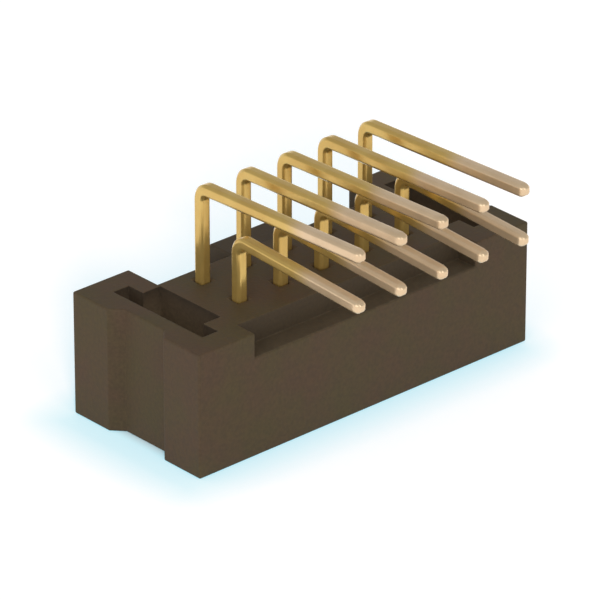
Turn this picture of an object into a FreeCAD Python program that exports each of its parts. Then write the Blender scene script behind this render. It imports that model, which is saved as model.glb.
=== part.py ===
import FreeCAD, Part
import math
import os

# Right-angle box header, two rows of contacts, lying on its mating mouth.
# Origin: centre of the housing on the plane of the mouth rim. +X runs along
# the contact columns, +Z runs from the mouth to the rear face, and the tails
# leave towards -Y, through the plane where the circuit board sits.

# Contact grid
pitch = 2.54
columns = 5
pin_side = 0.6
pin_chamfer = 0.12
press_clearance = 0.01

# Housing outside
housing_length = 20.6
housing_width = 8.8
housing_depth = 6.3
edge_radius = 0.1

# Mating cavity and its key slot
end_wall = 1.35
long_wall = 1.2
cavity_depth = 4.2
mouth_chamfer = 0.3
key_slot_width = 4.5

# Grip groove down each end face
groove_depth = 0.55
groove_floor = 2.7
groove_slope = 0.6

# Rear face: end blocks, board-side rabbet, far-side step with its key tab
end_block = 3.4
rabbet_width = 1.2
rabbet_depth = 1.25
step_width = 2.05
step_depth = 1.4
key_tab_width = 4.8
key_tab_setback = 0.5

# T-shaped core openings between the rear face and the cavity, one at each end
bar_width = 0.95
bar_length = 6.2
stem_width = 1.05
stem_length = 4.2

# Funnel round each contact in the rear face
funnel_side = 0.86
funnel_depth = 0.12

# Contacts: post below, bend above the rear face, straight tail
post_recess = 0.6
post_taper = 0.7
post_tip_side = 0.3
bend_radius = 0.3
upper_bend_height = 4.75
lower_bend_height = 3.0
upper_tail_height = 5.1
tail_reach = 5.2
tail_dome = 0.35
tail_tip_side = 0.12
dome_steps = 4

half_length = housing_length / 2
half_width = housing_width / 2
cavity_length = housing_length - 2 * end_wall
cavity_width = housing_width - 2 * long_wall
row_y = {"upper": pitch / 2, "lower": -pitch / 2}
bend_height = {"upper": upper_bend_height, "lower": lower_bend_height}
tail_height = {"upper": upper_tail_height, "lower": upper_tail_height - pitch}
column_x = [(index - (columns - 1) / 2) * pitch for index in range(columns)]


def point(x, y, z):
    return FreeCAD.Vector(x, y, z)


def block(x_range, y_range, z_range):
    """A box between two limits on each axis."""
    sizes = [high - low for low, high in (x_range, y_range, z_range)]
    return Part.makeBox(*sizes, point(x_range[0], y_range[0], z_range[0]))


def rectangle(size_x, size_y, x, y, z):
    """A closed rectangular wire, level, centred on x, y."""
    left, right = x - size_x / 2, x + size_x / 2
    near, far = y - size_y / 2, y + size_y / 2
    corners = [(left, near), (right, near), (right, far), (left, far), (left, near)]
    return Part.makePolygon([point(a, b, z) for a, b in corners])


def flare(wide, narrow):
    """The solid between two rectangles, for a chamfered opening."""
    return Part.makeLoft([wide, narrow], True, True)


def is_outer_corner(solid, edge):
    """True where the two faces at an edge meet like the outside of a box."""
    faces = solid.ancestorsOfType(edge, Part.Face)
    middle = edge.valueAt((edge.FirstParameter + edge.LastParameter) / 2)
    normals = []
    for face in faces:
        u, v = face.Surface.parameter(middle)
        normals.append(face.normalAt(u, v))
    probe = middle + (normals[0] - normals[1]) * 0.01
    return not solid.isInside(probe, 1e-6, False)


def outer_form():
    """The moulding's outside: a bar with a groove down each end face."""
    groove_mouth = groove_floor / 2 + groove_slope
    groove_x = half_length - groove_depth
    quarter = [
        (half_length, half_width),
        (half_length, groove_mouth),
        (groove_x, groove_floor / 2),
    ]
    right_end = quarter + [(x, -y) for x, y in reversed(quarter)]
    left_end = [(-x, -y) for x, y in right_end]
    outline = right_end + left_end
    wire = Part.makePolygon([point(x, y, 0) for x, y in outline + outline[:1]])
    return Part.Face(wire).extrude(point(0, 0, housing_depth))


def rear_steps():
    """What is missing from the rear face between its two end blocks."""
    between = (-half_length + end_block, half_length - end_block)
    rabbet = block(
        between,
        (-half_width, -half_width + rabbet_width),
        (housing_depth - rabbet_depth, housing_depth),
    )
    step = block(
        between,
        (half_width - step_width, half_width),
        (housing_depth - step_depth, housing_depth),
    )
    key_tab = block(
        (-key_tab_width / 2, key_tab_width / 2),
        (half_width - step_width, half_width - key_tab_setback),
        (housing_depth - step_depth, housing_depth),
    )
    return [rabbet, step.cut(key_tab)]


def mating_cavity():
    """The mouth: a pocket with a chamfered rim and a slot in its far wall."""
    pocket = Part.makeBox(
        cavity_length,
        cavity_width,
        cavity_depth,
        point(-cavity_length / 2, -cavity_width / 2, 0),
    )
    rim = flare(
        rectangle(cavity_length + 2 * mouth_chamfer, cavity_width + 2 * mouth_chamfer, 0, 0, 0),
        rectangle(cavity_length, cavity_width, 0, 0, mouth_chamfer),
    )
    key_slot = block(
        (-key_slot_width / 2, key_slot_width / 2),
        (cavity_width / 2 - mouth_chamfer, half_width),
        (0, cavity_depth),
    )
    return [pocket, rim, key_slot]


def end_opening(side):
    """One T-shaped opening, its bar against the end wall (side is -1 or 1)."""
    wall_x = side * cavity_length / 2
    bar_x = wall_x - side * bar_width
    stem_x = bar_x - side * stem_width
    through = (cavity_depth, housing_depth)
    bar = block(sorted((wall_x, bar_x)), (-bar_length / 2, bar_length / 2), through)
    stem = block(sorted((bar_x, stem_x)), (-stem_length / 2, stem_length / 2), through)
    return bar.fuse(stem)


def contact_hole(x, y):
    """The square hole that holds one contact, with its funnel at the rear."""
    side = pin_side + 2 * press_clearance
    hole = flare(
        rectangle(side, side, x, y, cavity_depth),
        rectangle(side, side, x, y, housing_depth),
    )
    funnel = flare(
        rectangle(side, side, x, y, housing_depth - funnel_depth),
        rectangle(funnel_side, funnel_side, x, y, housing_depth),
    )
    return hole.fuse(funnel)


def housing():
    """The one-piece moulding: softened outside first, then its openings."""
    body = outer_form().cut(rear_steps()).removeSplitter().Solids[0]
    soft_edges = [edge for edge in body.Edges if is_outer_corner(body, edge)]
    body = body.makeFillet(edge_radius, soft_edges)
    openings = mating_cavity() + [end_opening(-1), end_opening(1)]
    for y in row_y.values():
        openings += [contact_hole(x, y) for x in column_x]
    return body.cut(openings).removeSplitter()


def pin_section(side, origin, along, across):
    """A square wire outline with broken corners, across a YZ direction."""
    half = side / 2
    flat = half - pin_chamfer * side / pin_side
    corners = []
    for u, v in ((1, 1), (-1, 1), (-1, -1), (1, -1)):
        pair = [(u * half, v * flat), (u * flat, v * half)]
        corners += pair if u * v > 0 else reversed(pair)
    points = [origin + along * u + across * v for u, v in corners]
    return Part.makePolygon(points + points[:1])


def contact(x, row):
    """One square-wire contact: tapered post, one bend, domed tail tip."""
    up = point(0, 0, 1)
    sideways = point(1, 0, 0)
    corner = point(x, row_y[row], housing_depth + bend_height[row])
    tail_tip = point(x, -half_width - tail_reach, housing_depth + tail_height[row])
    tail = (tail_tip - corner).normalize()
    turn = up.getAngle(tail)
    centre_radius = bend_radius + pin_side / 2
    tangent = centre_radius * math.tan(turn / 2)

    post_start = point(x, row_y[row], post_recess + post_taper)
    bend_start = corner - up * tangent
    bend_end = corner + tail * tangent
    tail_end = tail_tip - tail * tail_dome
    inward = (tail - up).normalize()
    bend_centre = corner + inward * (centre_radius / math.cos(turn / 2))
    bend_middle = bend_centre - inward * centre_radius
    path = Part.Wire([
        Part.LineSegment(post_start, bend_start).toShape(),
        Part.Arc(bend_start, bend_middle, bend_end).toShape(),
        Part.LineSegment(bend_end, tail_end).toShape(),
    ])

    post_across = up.cross(sideways)
    post_foot = pin_section(pin_side, post_start, sideways, post_across)
    wire = path.makePipeShell([post_foot], True, False)
    post_end = post_start - up * post_taper
    post_tip = Part.makeLoft(
        [pin_section(post_tip_side, post_end, sideways, post_across), post_foot], True, True
    )

    tail_across = tail.cross(sideways)
    dome = []
    for step in range(dome_steps + 1):
        angle = math.radians(90 * step / dome_steps)
        side = tail_tip_side + (pin_side - tail_tip_side) * math.cos(angle)
        centre = tail_end + tail * (tail_dome * math.sin(angle))
        dome.append(pin_section(side, centre, sideways, tail_across))
    tail_point = Part.makeLoft(dome, True, True)
    return wire.fuse([post_tip, tail_point]).removeSplitter()


def main():
    os.makedirs("parts", exist_ok=True)
    parts = {"housing": housing()}
    for row in ("upper", "lower"):
        for index, x in enumerate(column_x, start=1):
            parts[f"pin_{row}_{index}"] = contact(x, row)
    for name, shape in parts.items():
        shape.exportStep(f"parts/{name}.step")
        box = shape.BoundBox
        print(
            f"{name}: solids {len(shape.Solids)}, valid {shape.isValid()}, "
            f"volume {shape.Volume:.2f}, "
            f"x {box.XMin:.2f}..{box.XMax:.2f}, y {box.YMin:.2f}..{box.YMax:.2f}, "
            f"z {box.ZMin:.2f}..{box.ZMax:.2f}"
        )


main()
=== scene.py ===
import math

import bpy
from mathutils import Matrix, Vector


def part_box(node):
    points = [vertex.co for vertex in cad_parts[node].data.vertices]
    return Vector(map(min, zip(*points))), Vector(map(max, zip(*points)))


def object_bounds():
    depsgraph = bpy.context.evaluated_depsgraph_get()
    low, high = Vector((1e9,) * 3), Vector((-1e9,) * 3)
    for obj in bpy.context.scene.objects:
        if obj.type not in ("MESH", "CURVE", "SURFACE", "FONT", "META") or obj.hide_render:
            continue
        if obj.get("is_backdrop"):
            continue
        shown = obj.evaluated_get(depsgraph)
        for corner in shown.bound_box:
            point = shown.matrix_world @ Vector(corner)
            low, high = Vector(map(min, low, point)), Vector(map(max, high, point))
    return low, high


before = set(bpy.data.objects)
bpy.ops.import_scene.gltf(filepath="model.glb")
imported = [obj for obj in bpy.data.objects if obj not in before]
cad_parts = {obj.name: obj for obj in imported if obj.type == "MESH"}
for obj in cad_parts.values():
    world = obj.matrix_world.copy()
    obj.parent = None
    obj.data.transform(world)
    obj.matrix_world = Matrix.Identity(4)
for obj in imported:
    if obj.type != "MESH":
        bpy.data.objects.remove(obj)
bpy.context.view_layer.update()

MM = 0.001
scene = bpy.context.scene
scene.view_settings.view_transform = "Standard"


# View: a small catalogue part seen from above its left end, through a lens so
# long that the edges of the housing stay nearly parallel. A turn is measured
# from -Y towards -X, and a height from level.
VIEW_TARGET = Vector((-2.425, -2.468, 5.755)) * MM
VIEW_TURN = math.radians(42.18)
VIEW_HEIGHT = math.radians(26.71)
VIEW_DISTANCE = 275.7 * MM
VIEW_LENS = 360.0
VIEW_NEAR = 10 * MM
VIEW_FAR = 10.0
SENSOR_WIDTH = 36.0


def direction(turn, height):
    """The unit vector from the part towards a place at this turn and height."""
    level = math.cos(height)
    return Vector((-math.sin(turn) * level, -math.cos(turn) * level, math.sin(height)))


def aim(thing, target):
    """Turns a camera or lamp so that it looks at a point."""
    thing.rotation_euler = (target - thing.location).to_track_quat("-Z", "Y").to_euler()


camera = bpy.data.objects.new("camera", bpy.data.cameras.new("camera"))
scene.collection.objects.link(camera)
camera.location = VIEW_TARGET + direction(VIEW_TURN, VIEW_HEIGHT) * VIEW_DISTANCE
aim(camera, VIEW_TARGET)
camera.data.lens = VIEW_LENS
camera.data.sensor_width = SENSOR_WIDTH
camera.data.clip_start = VIEW_NEAR
camera.data.clip_end = VIEW_FAR
scene.camera = camera


# Studio light: a white surround that is darker overhead, as in a room, with
# a large soft lamp on the camera's left and a weaker one on its right. The
# levels are set so that a colour renders about as it is written.
HORIZON_SEEN = 1.0
OVERHEAD_SEEN = 0.4
HORIZON_LEVEL = 1.1
OVERHEAD_LEVEL = 0.594
# A way into the surround has the sine of its angle above level as its Z.
SHADE_STARTS = math.sin(math.radians(5))
SHADE_ENDS = math.sin(math.radians(24))
LAMP_DISTANCE = 0.4
# Turns and heights in degrees, and the side of each square lamp in metres.
LAMPS = {
    "lamp_left": {"turn": 72, "height": 22, "size": 0.30, "level": 0.27},
    "lamp_right": {"turn": 5, "height": 30, "size": 0.24, "level": 0.19},
}


def add_node(tree, kind, **settings):
    """A node with its properties set, and its inputs given values or links."""
    inputs = settings.pop("inputs", {})
    made = tree.nodes.new(kind)
    for name, value in settings.items():
        setattr(made, name, value)
    for name, value in inputs.items():
        if isinstance(value, bpy.types.NodeSocket):
            tree.links.new(value, made.inputs[name])
        else:
            made.inputs[name].default_value = value
    return made


def arithmetic(tree, operation, *values):
    """The result of a Math node."""
    inputs = dict(enumerate(values))
    return add_node(tree, "ShaderNodeMath", operation=operation, inputs=inputs).outputs[0]


def split_axes(tree, vector):
    """The X, Y and Z of a vector."""
    return add_node(tree, "ShaderNodeSeparateXYZ", inputs={0: vector}).outputs


def ramp(tree, value, start, end, low=0.0, high=1.0, interpolation="LINEAR"):
    """A number that goes from low to high as a value goes from start to end."""
    return add_node(tree, "ShaderNodeMapRange", interpolation_type=interpolation, inputs={
        "Value": value,
        "From Min": start,
        "From Max": end,
        "To Min": low,
        "To Max": high}).outputs[0]


def seen_directly(tree):
    """1 for what the camera, or a mirror or glass in front of it, looks at."""
    path = add_node(tree, "ShaderNodeLightPath").outputs
    mirrored = arithmetic(tree, "MAXIMUM", path["Is Glossy Ray"], path["Is Transmission Ray"])
    return arithmetic(tree, "MAXIMUM", path["Is Camera Ray"], mirrored)


surround = bpy.data.worlds.new("surround")
surround.use_nodes = True
surround_tree = surround.node_tree
surround_tree.nodes.clear()
scene.world = surround
sky_way = add_node(surround_tree, "ShaderNodeTexCoord").outputs["Generated"]
sky_height = split_axes(surround_tree, sky_way)[2]


def white_surround(horizon, overhead):
    """White, with one strength near the horizon and another one overhead."""
    strength = ramp(surround_tree, sky_height, SHADE_STARTS, SHADE_ENDS, horizon, overhead)
    return add_node(surround_tree, "ShaderNodeBackground", inputs={
        "Color": (1, 1, 1, 1), "Strength": strength}).outputs[0]


surround_mix = add_node(surround_tree, "ShaderNodeMixShader", inputs={
    0: seen_directly(surround_tree),
    1: white_surround(HORIZON_LEVEL, OVERHEAD_LEVEL),
    2: white_surround(HORIZON_SEEN, OVERHEAD_SEEN)})
add_node(surround_tree, "ShaderNodeOutputWorld", inputs={"Surface": surround_mix.outputs[0]})

# At level 1 a lamp would by itself show a white sheet that faces it as white.
for name, lamp in LAMPS.items():
    softbox_light = bpy.data.lights.new(name, "AREA")
    softbox_light.size = lamp["size"]
    softbox_light.energy = lamp["level"] * math.pi ** 2 * LAMP_DISTANCE ** 2
    softbox = bpy.data.objects.new(name, softbox_light)
    scene.collection.objects.link(softbox)
    towards = direction(math.radians(lamp["turn"]), math.radians(lamp["height"]))
    softbox.location = VIEW_TARGET + towards * LAMP_DISTANCE
    aim(softbox, VIEW_TARGET)


# Floor: a plain white sheet just under the part. What is seen of it is lifted
# to white, has a faint blue rim round the housing, partly the part's real shadow
# and partly painted shadow, and goes dark in the mouth. It lights the part from
# below as plain pale paper.
FLOOR_SIZE = 3.0
FLOOR_DROP = 0.02 * MM
FLOOR_PAPER = (0.61, 0.61, 0.61, 1)
FLOOR_AWAY = (0.98, 0.47, 0.29, 1)
# Close to the housing the floor's lit colour weakens to this one, a painted shadow.
FLOOR_PAINTED_SHADOW = (0.67, 0.355, 0.22, 1)
FLOOR_LIFT = (0.145, 0.605, 0.77, 1)
NO_LIFT = (0, 0, 0, 1)
RIM_REACH = 2.5 * MM
RIM_SHIFT = Vector((-0.9, -0.15, 0)) * MM
UNDER_FADE = 1.1 * MM
FLOOR_LAMP_TURN = math.radians(36.5)
FLOOR_LAMP_HEIGHT = math.radians(22.5)
FLOOR_LAMP_SPREAD = math.radians(12)
FLOOR_LAMP_LEVEL = 0.55


def object_point(tree):
    """The point on the surface, in its object's own frame."""
    return add_node(tree, "ShaderNodeTexCoord").outputs["Object"]


def vector_arithmetic(tree, operation, *vectors):
    """The outputs of a Vector Math node."""
    inputs = dict(enumerate(vectors))
    return add_node(tree, "ShaderNodeVectorMath", operation=operation, inputs=inputs).outputs


def blend_colour(tree, mask, low, high):
    """A colour between two, by a mask. A Mix node takes them at sockets 6 and 7."""
    inputs = {0: mask, 6: low, 7: high}
    return add_node(tree, "ShaderNodeMix", data_type="RGBA", inputs=inputs).outputs[2]


def new_group(name, inputs, outputs):
    """An empty shader node group, with its inner input sockets."""
    group = bpy.data.node_groups.new(name, "ShaderNodeTree")
    for label, kind in inputs.items():
        group.interface.new_socket(label, in_out="INPUT", socket_type=kind)
    for label, kind in outputs.items():
        group.interface.new_socket(label, in_out="OUTPUT", socket_type=kind)
    return group, group.nodes.new("NodeGroupInput").outputs


def place_group(tree, group, inputs):
    """Puts a node group in a material and returns its outputs."""
    return add_node(tree, "ShaderNodeGroup", node_tree=group, inputs=inputs).outputs


# Marks the points in one box, and measures how far beyond its sides a point
# is, which is below zero inside.
box_group, box_in = new_group(
    "inside_box",
    {"Point": "NodeSocketVector", "Centre": "NodeSocketVector", "Half Size": "NodeSocketVector"},
    {"Mask": "NodeSocketFloat", "Beyond": "NodeSocketFloat"},
)
from_centre = vector_arithmetic(box_group, "SUBTRACT", box_in["Point"], box_in["Centre"])[0]
distances = vector_arithmetic(box_group, "ABSOLUTE", from_centre)[0]
past_sides = vector_arithmetic(box_group, "SUBTRACT", distances, box_in["Half Size"])[0]
past_x, past_y, past_z = split_axes(box_group, past_sides)
past_most = arithmetic(box_group, "MAXIMUM", arithmetic(box_group, "MAXIMUM", past_x, past_y), past_z)
gaps = vector_arithmetic(box_group, "MAXIMUM", past_sides, (0, 0, 0))[0]
outside = vector_arithmetic(box_group, "LENGTH", gaps)["Value"]
inside = arithmetic(box_group, "MINIMUM", past_most, 0.0)
add_node(box_group, "NodeGroupOutput", inputs={
    "Mask": arithmetic(box_group, "LESS_THAN", past_most, 0.0),
    "Beyond": arithmetic(box_group, "ADD", outside, inside)})

bpy.ops.mesh.primitive_plane_add(size=FLOOR_SIZE, location=(0, 0, -FLOOR_DROP))
floor = bpy.context.object
floor.name = "floor"
floor_sheet = bpy.data.materials.new("floor_sheet")
floor_sheet.use_nodes = True
floor_tree = floor_sheet.node_tree
floor_tree.nodes.clear()

# The rim's painted shadow is measured from the housing's footprint, shifted to
# the side where it is wider.
foot_low, foot_high = (Vector(corner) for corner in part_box("housing"))
foot_middle = (foot_low + foot_high) / 2
foot_half = (foot_high - foot_low) / 2
foot_half.z = FLOOR_SIZE
floor_point = object_point(floor_tree)
from_foot = place_group(floor_tree, box_group, {
    "Point": floor_point, "Centre": foot_middle, "Half Size": foot_half})["Beyond"]
from_rim = place_group(floor_tree, box_group, {
    "Point": floor_point, "Centre": foot_middle + RIM_SHIFT, "Half Size": foot_half})["Beyond"]

# What is seen is a lit colour and a blue lift, which make white together away
# from the housing. Close to it the lit colour is weaker, a painted shadow, and
# under it the sheet is plain paper, without a lift.
painted_shadow_clear = ramp(floor_tree, from_rim, 0.0, RIM_REACH)
floor_open = ramp(floor_tree, from_foot, -UNDER_FADE, 0.0, interpolation="SMOOTHSTEP")
floor_colour = blend_colour(floor_tree, painted_shadow_clear, FLOOR_PAINTED_SHADOW, FLOOR_AWAY)
floor_colour = blend_colour(floor_tree, floor_open, FLOOR_PAPER, floor_colour)
floor_lit = add_node(floor_tree, "ShaderNodeBsdfDiffuse", inputs={"Color": floor_colour})
floor_lift = add_node(floor_tree, "ShaderNodeEmission", inputs={
    "Color": blend_colour(floor_tree, floor_open, NO_LIFT, FLOOR_LIFT)})
floor_shown = add_node(floor_tree, "ShaderNodeAddShader", inputs={
    0: floor_lit.outputs[0], 1: floor_lift.outputs[0]})
floor_paper = add_node(floor_tree, "ShaderNodeBsdfDiffuse", inputs={"Color": FLOOR_PAPER})
floor_mix = add_node(floor_tree, "ShaderNodeMixShader", inputs={
    0: seen_directly(floor_tree), 1: floor_paper.outputs[0], 2: floor_shown.outputs[0]})
add_node(floor_tree, "ShaderNodeOutputMaterial", inputs={"Surface": floor_mix.outputs[0]})
floor.data.materials.append(floor_sheet)
floor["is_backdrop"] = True

# This lamp lights the floor alone. It stands beside the camera, and the part's
# shadow from it widens the rim behind the part and past its left end.
floor_only = bpy.data.collections.new("floor_only")
floor_only.objects.link(floor)
floor_light = bpy.data.lights.new("lamp_floor", "SUN")
floor_light.angle = FLOOR_LAMP_SPREAD
floor_light.energy = FLOOR_LAMP_LEVEL * math.pi
floor_lamp = bpy.data.objects.new("lamp_floor", floor_light)
scene.collection.objects.link(floor_lamp)
floor_lamp.location = VIEW_TARGET + direction(FLOOR_LAMP_TURN, FLOOR_LAMP_HEIGHT) * LAMP_DISTANCE
aim(floor_lamp, VIEW_TARGET)
floor_lamp.light_linking.receiver_collection = floor_only


# Housing: one moulding in a brown-black glass-filled plastic, matt from the
# etched mould. In the rabbet, the far-side step and the mouth the skin is
# greyer, with painted shade on the upper walls and a painted lighter tone below.

# The moulding's sizes, as in the CAD.
COLUMNS = 5
PITCH = 2.54 * MM
END_BLOCK = 3.4 * MM
RABBET_WIDTH = 1.2 * MM
RABBET_DEPTH = 1.25 * MM
STEP_WIDTH = 2.05 * MM
STEP_DEPTH = 1.4 * MM
END_WALL = 1.35 * MM
LONG_WALL = 1.2 * MM
CAVITY_DEPTH = 4.2 * MM
KEY_SLOT_WIDTH = 4.5 * MM

# The T-shaped openings and the funnels, with a little to spare round them, and
# how far the painted boxes and the changes of tone go past a wall or floor.
OPENING_REACH = 2.05 * MM
OPENING_HALF = 3.15 * MM
OPENING_FADE = 1.6 * MM
FUNNEL_SIDE = 0.9 * MM
FUNNEL_DEPTH = 0.14 * MM
PAINT_MARGIN = 0.02 * MM
POCKET_TONE_TURN = 0.02 * MM

# The rolled edges, the slow clouds of tone and the fine grain.
EDGE_REACH = 0.08 * MM
EDGE_SAMPLES = 12
EDGE_STARTS = 0.99
EDGE_FULL = 0.80
CLOUD_SIZE = 2.2 * MM
CLOUD_DETAIL = 4.0
CLOUD_RANGE = (0.35, 0.65)
GRAIN_SIZE = 0.16 * MM
GRAIN_DEPTH = 0.006 * MM
GRAIN_DETAIL = 2.0
GRAIN_RANGE = (0.3, 0.7)


def paint(red, green, blue):
    """An 8-bit screen colour as a shader's linear colour, by the sRGB curve."""
    def linear(value):
        share = value / 255
        return share / 12.92 if share <= 0.04045 else ((share + 0.055) / 1.055) ** 2.4
    return (linear(red), linear(green), linear(blue), 1)


HOUSING_GREEN = paint(80, 69, 47)
HOUSING_RED = paint(83, 66, 50)
POCKET_WALL_SHADE = paint(71, 60, 45)
POCKET_FLOOR_LIGHT = paint(85, 74, 58)
OPENING_RIM_SHADE = paint(60, 50, 40)
OPENING_DEEP_LIGHT = paint(128, 109, 85)
FUNNEL_PAINTED_LIGHT = paint(98, 84, 65)
EDGE_HIGHLIGHT_AND_WEAR = paint(100, 87, 70)
EDGE_HIGHLIGHT_SHARE = 0.18
GRAIN_TONE = 0.13
GRAIN_STRENGTH = 0.6
HOUSING_ROUGH = (0.55, 0.70)
HOUSING_SPECULAR = 0.2


def join_axes(tree, x, y, z):
    """The vector of an X, a Y and a Z."""
    return add_node(tree, "ShaderNodeCombineXYZ", inputs={0: x, 1: y, 2: z}).outputs[0]


# Slow clouds of tone and a fine grain, which a stretch can draw out in lines.
grain_group, grain_in = new_group(
    "clouds_and_grain",
    {
        "Point": "NodeSocketVector",
        "Stretch": "NodeSocketVector",
        "Cloud Scale": "NodeSocketFloat",
        "Grain Scale": "NodeSocketFloat",
    },
    {"Cloud": "NodeSocketFloat", "Grain": "NodeSocketFloat"},
)
cloud_noise = add_node(grain_group, "ShaderNodeTexNoise", inputs={
    "Vector": grain_in["Point"], "Scale": grain_in["Cloud Scale"], "Detail": CLOUD_DETAIL})
drawn_point = vector_arithmetic(grain_group, "MULTIPLY", grain_in["Point"], grain_in["Stretch"])[0]
grain_noise = add_node(grain_group, "ShaderNodeTexNoise", inputs={
    "Vector": drawn_point, "Scale": grain_in["Grain Scale"], "Detail": GRAIN_DETAIL})
add_node(grain_group, "NodeGroupOutput", inputs={
    "Cloud": ramp(grain_group, cloud_noise.outputs[0], *CLOUD_RANGE),
    "Grain": ramp(grain_group, grain_noise.outputs[0], *GRAIN_RANGE)})

# The softened edges: a normal that rolls over them, and a mask from how far
# it turns from the flat one, both limits as cosines.
edge_group, edge_in = new_group(
    "soft_edges",
    {"Reach": "NodeSocketFloat"},
    {"Edge": "NodeSocketFloat", "Normal": "NodeSocketVector"},
)
rolled = add_node(edge_group, "ShaderNodeBevel", samples=EDGE_SAMPLES, inputs={
    "Radius": edge_in["Reach"]}).outputs[0]
flat = add_node(edge_group, "ShaderNodeNewGeometry").outputs["True Normal"]
agreement = vector_arithmetic(edge_group, "DOT_PRODUCT", rolled, flat)["Value"]
add_node(edge_group, "NodeGroupOutput", inputs={
    "Edge": ramp(edge_group, agreement, EDGE_STARTS, EDGE_FULL), "Normal": rolled})


def new_material(name):
    """A material with one surface shader, and its tree and shader."""
    material = bpy.data.materials.new(name)
    material.use_nodes = True
    tree = material.node_tree
    tree.nodes.clear()
    shader = add_node(tree, "ShaderNodeBsdfPrincipled")
    add_node(tree, "ShaderNodeOutputMaterial", inputs={"Surface": shader.outputs[0]})
    return material, tree, shader


def cover(node_name, material):
    """Gives a CAD node its material."""
    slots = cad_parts[node_name].data.materials
    slots.clear()
    slots.append(material)


_, housing_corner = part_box("housing")
half_length, half_width, rear = housing_corner
between_blocks = half_length - END_BLOCK
cavity_x = half_length - END_WALL
cavity_y = half_width - LONG_WALL
rabbet_floor = rear - RABBET_DEPTH

# Each pocket that is painted darker or lighter, as its lowest and highest
# corners in the half past x = 0.
SHADED_POCKETS = {
    "rabbet": ((0, -half_width, rabbet_floor), (between_blocks, -half_width + RABBET_WIDTH, rear)),
    "step": ((0, half_width - STEP_WIDTH, rear - STEP_DEPTH), (between_blocks, half_width, rear)),
    "mouth": ((0, -cavity_y, 0), (cavity_x, cavity_y, CAVITY_DEPTH)),
    "key_slot": ((0, cavity_y, 0), (KEY_SLOT_WIDTH / 2, half_width, CAVITY_DEPTH)),
}

housing_skin, skin_tree, skin_shader = new_material("housing_skin")
skin_point = object_point(skin_tree)
skin_x, skin_y, skin_z = split_axes(skin_tree, skin_point)
folded_point = join_axes(skin_tree, arithmetic(skin_tree, "ABSOLUTE", skin_x), skin_y, skin_z)
skin_marks = place_group(skin_tree, grain_group, {
    "Point": skin_point,
    "Stretch": (1, 1, 1),
    "Cloud Scale": 1 / CLOUD_SIZE,
    "Grain Scale": 1 / GRAIN_SIZE})
skin_edges = place_group(skin_tree, edge_group, {"Reach": EDGE_REACH})
skin_tone = blend_colour(skin_tree, skin_marks["Cloud"], HOUSING_GREEN, HOUSING_RED)

# Painted shade: the pockets are darker down to the level of the rabbet's floor,
# and below it they take a lighter tone, a painted light.
pocket_shade_mask = 0.0
for low, high in SHADED_POCKETS.values():
    pocket = place_group(skin_tree, box_group, {
        "Point": folded_point,
        "Centre": (Vector(low) + Vector(high)) / 2,
        "Half Size": (Vector(high) - Vector(low)) / 2 + Vector((PAINT_MARGIN,) * 3)})
    pocket_shade_mask = arithmetic(skin_tree, "MAXIMUM", pocket_shade_mask, pocket["Mask"])
below_rabbet_floor = ramp(skin_tree, skin_z, rabbet_floor + POCKET_TONE_TURN, rabbet_floor)
pocket_painted_tone = blend_colour(skin_tree, below_rabbet_floor, POCKET_WALL_SHADE, POCKET_FLOOR_LIGHT)
skin_tone = blend_colour(skin_tree, pocket_shade_mask, skin_tone, pocket_painted_tone)

# Painted shade and light: the T-shaped openings are painted dark at the rim and
# lighter with depth, so that they show evenly dark.
opening = place_group(skin_tree, box_group, {
    "Point": folded_point,
    "Centre": (cavity_x - OPENING_REACH / 2, 0, (CAVITY_DEPTH + rear) / 2),
    "Half Size": (
        OPENING_REACH / 2 + PAINT_MARGIN,
        OPENING_HALF,
        (rear - CAVITY_DEPTH) / 2 - PAINT_MARGIN)})
opening_depth = ramp(skin_tree, skin_z, rear, rear - OPENING_FADE)
opening_painted_tone = blend_colour(skin_tree, opening_depth, OPENING_RIM_SHADE, OPENING_DEEP_LIGHT)
skin_tone = blend_colour(skin_tree, opening["Mask"], skin_tone, opening_painted_tone)

# One funnel's box is repeated at the pitch, as far as the contacts reach. The
# funnels are painted lighter, a painted light against the shade round each contact.
grid_x = arithmetic(skin_tree, "WRAP", skin_x, PITCH / 2, -PITCH / 2)
grid_y = arithmetic(skin_tree, "WRAP", skin_y, PITCH, 0.0)
funnel = place_group(skin_tree, box_group, {
    "Point": join_axes(skin_tree, grid_x, grid_y, skin_z),
    "Centre": (0, PITCH / 2, rear - FUNNEL_DEPTH / 2),
    "Half Size": (FUNNEL_SIDE / 2, FUNNEL_SIDE / 2, FUNNEL_DEPTH / 2 - PAINT_MARGIN / 2)})
contact_field = place_group(skin_tree, box_group, {
    "Point": skin_point,
    "Centre": (0, 0, rear),
    "Half Size": (COLUMNS * PITCH / 2, PITCH, FUNNEL_DEPTH)})
funnel_mask = arithmetic(skin_tree, "MULTIPLY", funnel["Mask"], contact_field["Mask"])
skin_tone = blend_colour(skin_tree, funnel_mask, skin_tone, FUNNEL_PAINTED_LIGHT)

# Paler edges, a painted highlight with some wear, the speckle of the glass
# fibres, and the etched grain.
edge_highlight_share = arithmetic(skin_tree, "MULTIPLY", skin_edges["Edge"], EDGE_HIGHLIGHT_SHARE)
skin_tone = blend_colour(skin_tree, edge_highlight_share, skin_tone, EDGE_HIGHLIGHT_AND_WEAR)
speckle = ramp(skin_tree, skin_marks["Grain"], 0.0, 1.0, 1 - GRAIN_TONE, 1 + GRAIN_TONE)
skin_tone = add_node(skin_tree, "ShaderNodeVectorMath", operation="SCALE", inputs={
    0: skin_tone, "Scale": speckle}).outputs[0]
skin_rough = ramp(skin_tree, skin_marks["Grain"], 0.0, 1.0, *HOUSING_ROUGH)
skin_bump = add_node(skin_tree, "ShaderNodeBump", inputs={
    "Strength": GRAIN_STRENGTH,
    "Distance": GRAIN_DEPTH,
    "Height": skin_marks["Grain"],
    "Normal": skin_edges["Normal"]}).outputs[0]
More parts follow.
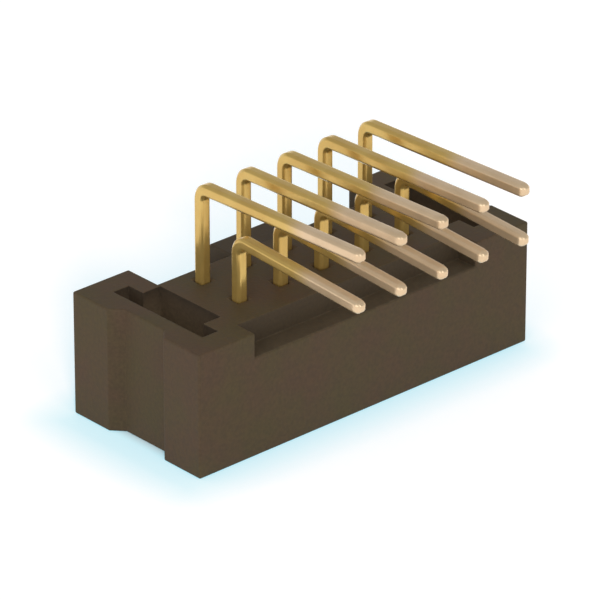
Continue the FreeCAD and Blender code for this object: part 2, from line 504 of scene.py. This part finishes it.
skin_tree.links.new(skin_tone, skin_shader.inputs["Base Color"])
skin_tree.links.new(skin_rough, skin_shader.inputs["Roughness"])
skin_tree.links.new(skin_bump, skin_shader.inputs["Normal"])
skin_shader.inputs["Specular IOR Level"].default_value = HOUSING_SPECULAR
cover("housing", housing_skin)


# Contacts: ten lengths of drawn brass wire with rounded corners, pointed at
# the mating end, pressed through the rear wall and bent over. Bright gold
# covers the post and the bend, and the end of each tail is dipped in tin.
TIN_DIP_WAY = (-0.034, 1.0, -0.26)
TIN_DIP_DEPTH = -8.03 * MM
TIN_BLUR = 0.8 * MM
TIN_WANDER = 0.3 * MM
WIRE_CLOUD_SIZE = 1.2 * MM
WIRE_GRAIN_SIZE = 0.05 * MM
WIRE_STRETCH = (1, 0.05, 0.05)
WIRE_EDGE_REACH = 0.12 * MM
GOLD_COLOUR = paint(218, 186, 108)
GOLD_DEEP = paint(210, 175, 98)
GOLD_METAL = 0.65
GOLD_ROUGH = (0.16, 0.22)
# The tin's warm beige is partly its own and partly a painted reflection of the gold beside it.
TIN_COLOUR = paint(232, 205, 168)
TIN_DEEP = paint(222, 195, 158)
TIN_METAL = 0.6
TIN_ROUGHER = 0.03

plated_wire, wire_tree, wire_shader = new_material("plated_wire")
wire_point = object_point(wire_tree)
wire_marks = place_group(wire_tree, grain_group, {
    "Point": wire_point,
    "Stretch": WIRE_STRETCH,
    "Cloud Scale": 1 / WIRE_CLOUD_SIZE,
    "Grain Scale": 1 / WIRE_GRAIN_SIZE})
wire_edges = place_group(wire_tree, edge_group, {"Reach": WIRE_EDGE_REACH})

# The tin reaches up to a slanted plane across the tails, and its end wanders
# with the clouds.
dip_depth = vector_arithmetic(wire_tree, "DOT_PRODUCT", wire_point, TIN_DIP_WAY)["Value"]
dip_depth = arithmetic(wire_tree, "MULTIPLY_ADD", wire_marks["Cloud"], TIN_WANDER, dip_depth)
tin_middle = TIN_DIP_DEPTH + TIN_WANDER / 2
tin_mask = ramp(
    wire_tree, dip_depth, tin_middle - TIN_BLUR, tin_middle + TIN_BLUR, 1.0, 0.0, "SMOOTHSTEP")
gold = blend_colour(wire_tree, wire_marks["Cloud"], GOLD_DEEP, GOLD_COLOUR)
tin = blend_colour(wire_tree, wire_marks["Cloud"], TIN_DEEP, TIN_COLOUR)
wire_tone = blend_colour(wire_tree, tin_mask, gold, tin)
gold_rough = ramp(wire_tree, wire_marks["Grain"], 0.0, 1.0, *GOLD_ROUGH)
wire_rough = arithmetic(wire_tree, "MULTIPLY_ADD", tin_mask, TIN_ROUGHER, gold_rough)
wire_metal = ramp(wire_tree, tin_mask, 0.0, 1.0, GOLD_METAL, TIN_METAL)
wire_tree.links.new(wire_tone, wire_shader.inputs["Base Color"])
wire_tree.links.new(wire_rough, wire_shader.inputs["Roughness"])
wire_tree.links.new(wire_metal, wire_shader.inputs["Metallic"])
wire_tree.links.new(wire_edges["Normal"], wire_shader.inputs["Normal"])
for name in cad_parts:
    if name.startswith("pin_"):
        cover(name, plated_wire)


low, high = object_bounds()
